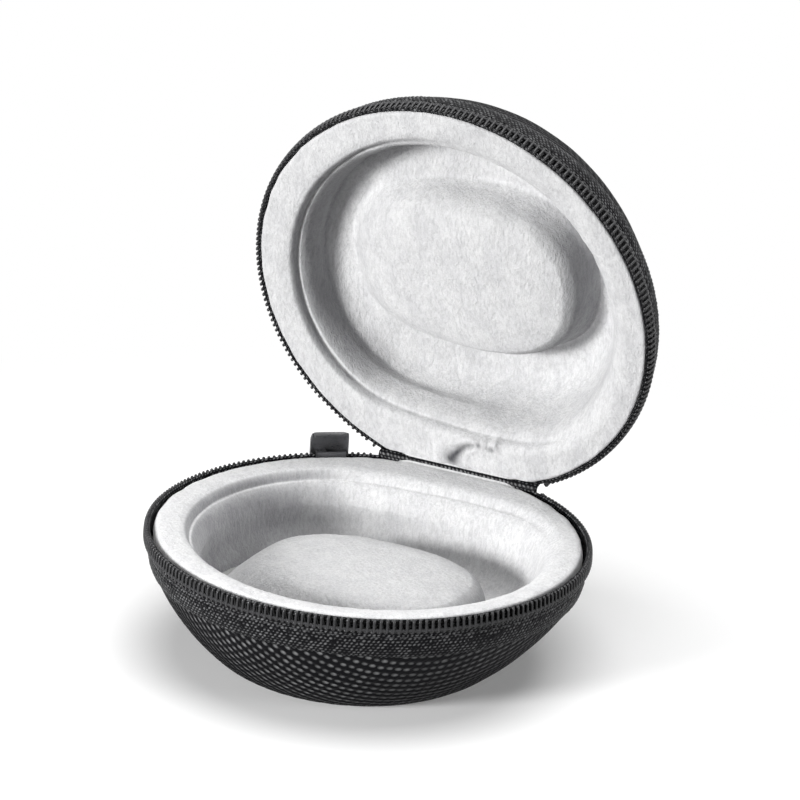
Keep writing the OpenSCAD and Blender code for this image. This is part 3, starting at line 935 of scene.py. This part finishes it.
def make_lining(half):
    a = np.linspace(0, 2 * math.pi, LINING_RAYS, endpoint=False)
    middle = np.stack([0 * a, 0 * a - BOSS_FRONT, 0 * a - BOSS_TOP], axis=-1)
    others = LINING_STATIONS + LIP_STATIONS[half]
    stations = np.stack([middle] + [lining_point(half, *station, a) for station in others])
    grid = np.stack([catmull(stations[:, k], LINING_RINGS) for k in range(LINING_RAYS)], axis=1)
    normal = grid_normals(grid, True)
    if normal[5, :, 2].mean() < 0:
        normal = -normal
    seed = SEEDS[half]["velvet"]
    lump = 0.10 * smooth_noise(grid, 9, seed) + 0.04 * smooth_noise(grid, 3.2, seed + 1)
    pile = 0.035 * smooth_noise(grid, 1.1, seed + 2)
    grid = grid + normal * (lump + pile)[..., None]
    # Painted shade on walls that face right, towards the hinge or away from it
    wall_shade = wall_shade_share(normal)
    crease = 0 * wall_shade
    if half == "lid":
        x, y = grid[..., 0], grid[..., 1]
        near = (np.abs(x - 3) < 14) & (y > 34) & (grid[..., 2] > -6)
        depth, shade = pucker(x[near], y[near])
        grid[near] -= normal[near] * depth[:, None]
        # The crease attribute carries painted shade
        crease[near] = shade
    faces = grid_faces(LINING_RINGS, LINING_RAYS, True)
    points = grid.reshape(-1, 3)
    faces = faced(points, faces, lambda at: np.array([0, 0, 1.0]), slice(LINING_RAYS * 4))
    piece = make_piece(
        f"{half}_velvet", points, faces, HALVES[half], MATERIALS[f"{half}_velvet"],
        values={"painted_wall_shade_share": wall_shade, "crease": crease},
    )
    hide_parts(f"{half}_lining")
    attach(piece, half)


# ---- hinge pieces, which bend between the halves -------------------------


def in_yz(half, y, m):
    """Row-frame y and z, in mm, of a point in the middle plane of a half."""
    point = HALVES[half] @ Vector((0, y, -m))
    return [point.y / MM, point.z / MM]


def folded_band(name, mids, thickness, half_width, material, relief, seed, sink=0.0):
    """A closed band along a path in the middle plane. half_width gives its half width there.
    Sink is how far its side edges go down into the pieces that it lies on."""
    rows, columns = 150, 190
    path = catmull(mids, rows)
    along = lengths_along(path)
    tangent = np.gradient(path, axis=0)
    tangent /= np.linalg.norm(tangent, axis=1)[:, None]
    out = np.stack([tangent[:, 1], -tangent[:, 0]], axis=1)
    reach = half_width(along, along[-1])[:, None]
    x = np.linspace(-1, 1, columns)[None, :] * reach
    s = np.broadcast_to(along[:, None], x.shape)
    rise = tape_rise(x + 100, s + 20, seed)
    from_side = reach - np.abs(x)
    edge = np.minimum(from_side, np.minimum(s, along[-1] - s))
    inward = 1 - np.clip(edge / (thickness * 0.7), 0, 1)
    thick = thickness * np.sqrt(np.clip(1 - inward**2, 0.01, 1))
    down = sink * np.clip(1 - from_side / 3.5, 0, 1) ** 2
    sides = []
    for sign in (1, -1):
        lift = down + sign * thick / 2 + (relief * (rise - 0.6) if sign > 0 else 0)
        yz = path[:, None, :] + out[:, None, :] * lift[..., None]
        sides.append(np.concatenate([x[..., None], yz], axis=-1))
    top = grid_faces(rows, columns, False)
    bottom = grid_faces(rows, columns, False, rows * columns)[:, ::-1]
    ring = np.concatenate([
        np.arange(columns), np.arange(1, rows) * columns + columns - 1,
        (rows - 1) * columns + np.arange(columns - 2, -1, -1), np.arange(rows - 2, 0, -1) * columns,
    ])
    after = np.roll(ring, -1)
    edge_faces = np.stack([ring, after, after + rows * columns, ring + rows * columns], axis=1)
    points = np.concatenate([side.reshape(-1, 3) for side in sides])
    faces = np.concatenate([top, bottom, edge_faces])
    uv = np.stack([x.ravel(), s.ravel()], axis=1) / 10
    piece = make_piece(
        name, points, faces, SCALE, material,
        uv=np.concatenate([uv, uv]), values={"rise": np.stack([rise, rise])},
    )
    mesh = bmesh.new()
    mesh.from_mesh(piece.data)
    bmesh.ops.recalc_face_normals(mesh, faces=mesh.faces)
    mesh.to_mesh(piece.data)
    mesh.free()
    return piece


def widened(narrow, wide, over):
    """A half width for folded_band: narrow at its two ends, and wide from over mm on."""

    def half_width(along, whole):
        end = np.minimum(along, whole - along)
        return narrow + (wide - narrow) * np.clip(end / over, 0, 1)

    return half_width


STRIP_Y = 48.86
STRIP_DEPTHS = [10.8, 8.5, 6, 3.5, 1.8, 0.8]


def make_hinge_strip():
    mids = [in_yz("base", STRIP_Y, m) for m in STRIP_DEPTHS]
    mids += [[48.95, HALF_HEIGHT - 0.02], [49.2, HALF_HEIGHT + 0.35]]
    mids += [in_yz("lid", STRIP_Y, m) for m in STRIP_DEPTHS[::-1]]
    piece = folded_band(
        "hinge_band", mids, thickness=0.6, half_width=widened(15.2, 22.4, 4.2),
        material=MATERIALS["tape_weave"], relief=0.1, seed=71,
    )
    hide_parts("base_hinge_strip", "lid_hinge_strip")
    blend_at_fold(piece)


def make_hinge_lining():
    rest = ((43.4, 1.2), (44.4, 0.86), (45.8, 0.66), (47.4, 0.6), (48.3, 0.66))
    mids = [in_yz("base", y, m) for y, m in rest] + [[49.0, HALF_HEIGHT + 0.1]]
    mids += [in_yz("lid", y, m) for y, m in rest[::-1]]
    piece = folded_band(
        "hinge_velvet", mids, thickness=0.36, half_width=widened(15.5, 16.5, 1.5),
        material=MATERIALS["lid_velvet"], relief=0.02, seed=72, sink=0.55,
    )
    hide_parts("base_hinge_lining", "lid_hinge_lining")
    blend_at_fold(piece)


def blend_at_fold(piece):
    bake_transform(piece)


# Each row's depth and how many stitches lie on either side of its middle one. The rows of the two
# halves miss each other when the lid lies flat behind the base.
HINGE_ROWS = {"base": ((2.4, 6), (9.2, 5)), "lid": ((3.3, 6), (8.3, 5))}
HINGE_STITCH_PITCH = 2.6
HINGE_STITCH_REACH = 0.92
HINGE_STITCH_Y = 49.16
HINGE_THREAD_RADIUS = 0.15


def make_hinge_stitches(half):
    parts = []
    for row, reach in HINGE_ROWS[half]:
        for i in range(-reach, reach + 1):
            t = np.linspace(-1, 1, 11)
            x = i * HINGE_STITCH_PITCH + HINGE_STITCH_REACH * t
            y = HINGE_STITCH_Y + 0.1 * (1 - np.abs(t) ** 3)
            path = np.stack([x, y, -row + 0.03 * t], axis=1)
            parts.append(capped_tube(path, HINGE_THREAD_RADIUS, 8, upward(path)))
    points, faces = joined(parts)
    piece = make_piece(f"{half}_hinge_stitches", points, faces, HALVES[half], MATERIALS["thread"])
    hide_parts(f"{half}_hinge_stitching")
    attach(piece, half)


# ---- slider and pull: the CAD shapes with rounded edges ------------------

# Half the length (degrees along the rim) and half the height (mm) of the slider's outer plate
PLATE_HALF_LENGTH = 5.2
PLATE_HALF_HEIGHT = 4.45


def round_plate_corners(work, width):
    """Rounds the outline of the slider's outer plate at its four corners."""
    corners = []
    for edge in work.edges:
        ends = [vert.co / MM for vert in edge.verts]
        radii = [end.xy.length for end in ends]
        turns = [abs(math.degrees(math.atan2(-end.x, end.y)) - PARK_ANGLE) for end in ends]
        levels = [abs(end.z - HALF_HEIGHT) for end in ends]
        far_along = min(turns) > PLATE_HALF_LENGTH - 0.05
        far_up = min(levels) > PLATE_HALF_HEIGHT - 0.05
        if far_along and far_up and abs(radii[0] - radii[1]) > 0.3:
            corners.append(edge)
    bmesh.ops.bevel(work, geom=corners, offset=width * MM, segments=7, profile=0.5, affect="EDGES")


def rounded_copy(node, name, width, material, body, corner=0):
    """A copy of a CAD node with bevels width mm wide, and with plate corners of corner mm."""
    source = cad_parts[node]
    mesh = source.data.copy()
    mesh.transform(source.matrix_world)
    mesh.materials.clear()
    mesh.materials.append(MATERIALS[material])
    work = bmesh.new()
    work.from_mesh(mesh)
    bmesh.ops.remove_doubles(work, verts=work.verts, dist=2e-6)
    bmesh.ops.dissolve_limit(
        work, angle_limit=math.radians(0.6), verts=work.verts, edges=work.edges,
        use_dissolve_boundaries=False,
    )
    if corner:
        round_plate_corners(work, corner)
    work.to_mesh(mesh)
    work.free()
    for polygon in mesh.polygons:
        polygon.material_index = 0
        polygon.use_smooth = True
    piece = added(name, mesh)
    bevel = piece.modifiers.new("rounded", "BEVEL")
    bevel.width = width * MM
    bevel.segments = 3
    bevel.limit_method = "ANGLE"
    bevel.angle_limit = math.radians(32)
    bevel.harden_normals = True
    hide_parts(node)
    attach(piece, body)


for half_name in HALVES:
    make_cover(half_name)
    make_tape(half_name)
    make_coil(half_name)
    make_cord(half_name)
    make_stitches(half_name)
    make_stops(half_name)
    make_lining(half_name)
    make_hinge_stitches(half_name)
make_hinge_strip()
make_hinge_lining()
rounded_copy("slider_body", "zip_slider", 0.16, "slider_metal", "slider", corner=1.9)
rounded_copy("slider_bridge", "zip_bridge", 0.14, "slider_metal", "slider")
rounded_copy("pull_tab", "zip_pull", 0.2, "pull_metal", "pull")

# ---- the inner CAD pieces keep their meshes ------------------------------

for half_name in HALVES:
    pad = "dense_pad" if half_name == "base" else "light_pad"
    looks = {"shell": "shell_foam", "insert": "insert_foam", "boss_core": pad}
    for node_name, look_name in looks.items():
        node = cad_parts[f"{half_name}_{node_name}"]
        if not node.material_slots:
            node.data.materials.append(None)
        for material_slot in node.material_slots:
            material_slot.material = MATERIALS[look_name]

# ---- floor, backdrop and light -------------------------------------------

FLOOR_LIFT = 0.12
FLOOR_BOUNCE = 0.12
# How far from the origin (m) the floor's fade into the white backdrop begins and ends
FLOOR_FADE = (0.092, 0.225)
WORLD_LIGHT = 0.05
MIDDLE = (0, 0.02, 0.06)
# Name, place, size and power of each lamp. All point at MIDDLE.
LIGHTS = [
    ("key", (-0.34, -0.7, 0.195), 0.2, 8.2),
    ("side", (1.25, 0.12, 0.3), 0.5, 7),
    ("top", (0.05, 0.2, 1.35), 1.4, 20),
]


def seen_share(tree):
    """1 for rays from the camera and from glossy or clear surfaces, 0 for all others."""
    path = new_node(tree, "LightPath").outputs
    seen = path["Is Camera Ray"]
    for name in ("Is Glossy Ray", "Is Transmission Ray"):
        seen = new_node(tree, "Math", {0: seen, 1: path[name]}, operation="MAXIMUM").outputs[0]
    return seen


def make_floor():
    """A floor that shows the shadow near the object, is white further off, and throws little
    light back on the object."""
    mesh = bpy.data.meshes.new("floor")
    work = bmesh.new()
    bmesh.ops.create_grid(work, x_segments=40, y_segments=40, size=6)
    work.to_mesh(mesh)
    work.free()
    floor = added("floor", mesh)
    material = bpy.data.materials.new("floor_paper")
    material.use_nodes = True
    tree = material.node_tree
    tree.nodes.clear()
    seen = seen_share(tree)
    paper = new_node(tree, "BsdfDiffuse", {"Color": (0.9, 0.9, 0.9, 1)})
    lift = new_node(tree, "Emission", {"Strength": FLOOR_LIFT})
    near = new_node(tree, "AddShader", {0: paper.outputs[0], 1: lift.outputs[0]})
    bounce = new_node(tree, "BsdfDiffuse", {"Color": (FLOOR_BOUNCE, FLOOR_BOUNCE, FLOOR_BOUNCE, 1)})
    near = new_node(tree, "MixShader", {0: seen, 1: bounce.outputs[0], 2: near.outputs[0]})
    where = new_node(tree, "TexCoord").outputs["Object"]
    apart = new_node(tree, "VectorMath", {0: where}, operation="LENGTH").outputs["Value"]
    links = {"Value": apart, "From Min": FLOOR_FADE[0], "From Max": FLOOR_FADE[1]}
    fade = new_node(tree, "MapRange", links, interpolation_type="SMOOTHSTEP").outputs["Result"]
    white = new_node(tree, "Math", {0: seen, 1: fade}, operation="MULTIPLY").outputs[0]
    far = new_node(tree, "Emission")
    shown = new_node(tree, "MixShader", {0: white, 1: near.outputs[0], 2: far.outputs[0]})
    new_node(tree, "OutputMaterial", {"Surface": shown.outputs[0]})
    mesh.materials.append(material)


def make_world():
    """White where it is seen, also in glossy surfaces, and only a faint light on the object."""
    world = bpy.data.worlds.new("studio")
    bpy.context.scene.world = world
    world.use_nodes = True
    tree = world.node_tree
    background = tree.nodes["Background"]
    background.inputs["Color"].default_value = (1, 1, 1, 1)
    links = {"Value": seen_share(tree), "To Min": WORLD_LIGHT, "To Max": 1.0}
    strength = new_node(tree, "MapRange", links).outputs[0]
    tree.links.new(strength, background.inputs["Strength"])


def make_light(name, at, size, power):
    data = bpy.data.lights.new(name, "AREA")
    data.shape = "DISK"
    data.size = size
    data.energy = power
    light = added(name, data)
    light.location = at
    light.rotation_euler = (Vector(at) - Vector(MIDDLE)).to_track_quat("Z", "Y").to_euler()


make_floor()
make_world()
for light_values in LIGHTS:
    make_light(*light_values)

bpy.context.scene.view_settings.view_transform = "Standard"
